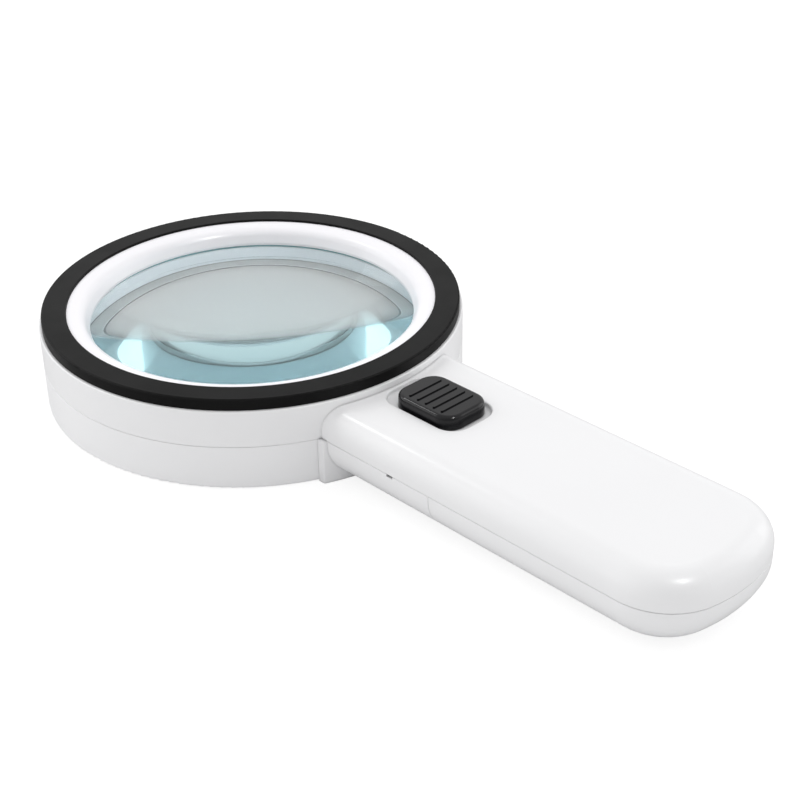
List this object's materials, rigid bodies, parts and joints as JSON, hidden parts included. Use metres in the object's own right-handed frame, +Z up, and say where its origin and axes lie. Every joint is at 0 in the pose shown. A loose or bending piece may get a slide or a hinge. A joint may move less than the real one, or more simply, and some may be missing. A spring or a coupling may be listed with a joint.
{
  "type": "hand-held illuminated magnifier",
  "caption": "Round hand magnifier with a black trim ring, one large glass lens, ring light, slide switch and a flat white battery handle.",
  "frame": {"origin": "centre of the head's resting rim, on the resting plane", "axes": "+X along the handle away from the lens, +Z up through the lens, +Y across the handle"},
  "size_m": [0.2108, 0.11, 0.0242],
  "materials": {
    "white_plastic": "satin-gloss moulded ABS",
    "black_plastic": "satin moulded ABS",
    "black_gloss_plastic": "glossy moulded ABS",
    "inner_black_plastic": "moulded nylon",
    "inner_plastic": "plain moulded ABS",
    "lens_glass": "polished optical glass",
    "circuit_board": "solder mask",
    "led_epoxy": "clear epoxy",
    "plated_steel": "zinc plated",
    "tinned_brass": "tinned",
    "nickel_spring": "nickel plated",
    "resistor_body": "lacquered",
    "battery_jacket": "printed film over steel, no text",
    "red_insulation": "PVC insulation",
    "black_insulation": "PVC insulation"
  },
  "bodies": {
    "root": {"bezel_ring": "black_plastic", "lens_surround": "white_plastic", "upper_shell": "white_plastic", "head_lower_shell": "white_plastic", "lens": "lens_glass", "led_board": "circuit_board", "leds": "led_epoxy", "led_board_screws": "plated_steel", "head_screws": "plated_steel", "handle_lower_shell": "white_plastic", "switch_case": "plated_steel", "switch_pins": "tinned_brass", "switch_board": "circuit_board", "switch_board_screws": "plated_steel", "resistor": "resistor_body", "battery_tray": "inner_plastic", "tray_screws": "plated_steel", "batteries": "battery_jacket", "battery_springs": "nickel_spring", "contact_plates": "tinned_brass", "lamp_wire_red": "red_insulation", "lamp_wire_black": "black_insulation", "battery_wire_red": "red_insulation", "battery_wire_black": "black_insulation", "handle_screws": "plated_steel"},
    "switch": {"switch_button": "black_gloss_plastic", "switch_lever": "inner_black_plastic"},
    "door": {"battery_door": "white_plastic"}
  },
  "joints": [
    {"name": "switch_slide", "type": "slide", "parent": "root", "child": "switch", "axis": [-1, 0, 0], "range_m": [0, 0.003]},
    {"name": "door_slide", "type": "slide", "parent": "root", "child": "door", "axis": [1, 0, 0], "range_m": [0, 0.07]}
  ]
}
